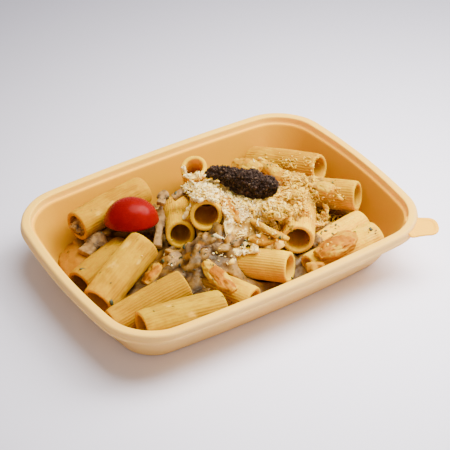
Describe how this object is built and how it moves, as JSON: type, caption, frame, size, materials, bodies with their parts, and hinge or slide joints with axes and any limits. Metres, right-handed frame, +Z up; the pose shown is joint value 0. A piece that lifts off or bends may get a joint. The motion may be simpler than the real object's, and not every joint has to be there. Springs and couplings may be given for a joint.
{
  "type": "pasta ready meal in a tray",
  "caption": "Ready meal in a moulded tray with a lid ledge and a lift tab: ridged pasta tubes in cream sauce with chicken, mushroom, half a tomato, grated cheese and olive tapenade.",
  "frame": {"origin": "middle of the tray's flat base, on the surface that it stands on", "axes": "+X along the tray's long side, +Y across it, away from the side with the lift tab, +Z up"},
  "size_m": [0.19, 0.1416, 0.048],
  "materials": {
    "tray": "satin moulded starch plastic",
    "pasta": "cooked pasta with a thin film of cream",
    "tomato": "glossy tomato skin",
    "chicken": "roast chicken, browned in places",
    "mushroom": "cooked mushroom",
    "sauce": "thick cream sauce with herbs",
    "cheese": "grated hard cheese",
    "tapenade": "chopped black olive, oily"
  },
  "bodies": {
    "root": {"tray": "tray", "rigatone_01": "pasta", "rigatone_02": "pasta", "rigatone_03": "pasta", "rigatone_04": "pasta", "rigatone_05": "pasta", "rigatone_06": "pasta", "rigatone_07": "pasta", "rigatone_08": "pasta", "rigatone_09": "pasta", "rigatone_10": "pasta", "rigatone_11": "pasta", "rigatone_12": "pasta", "rigatone_13": "pasta", "rigatone_14": "pasta", "rigatone_15": "pasta", "tomato_half": "tomato", "chicken_01": "chicken", "chicken_02": "chicken", "chicken_03": "chicken", "chicken_04": "chicken", "chicken_05": "chicken", "chicken_06": "chicken", "chicken_07": "chicken", "chicken_08": "chicken", "chicken_09": "chicken", "chicken_10": "chicken", "chicken_11": "chicken", "mushroom_1": "mushroom", "mushroom_2": "mushroom", "mushroom_3": "mushroom", "mushroom_4": "mushroom", "mushroom_5": "mushroom", "mushroom_6": "mushroom", "mushroom_7": "mushroom", "mushroom_8": "mushroom", "mushroom_9": "mushroom", "sauce_bed": "sauce", "grated_cheese": "cheese", "olive_tapenade": "tapenade"}
  },
  "joints": []
}
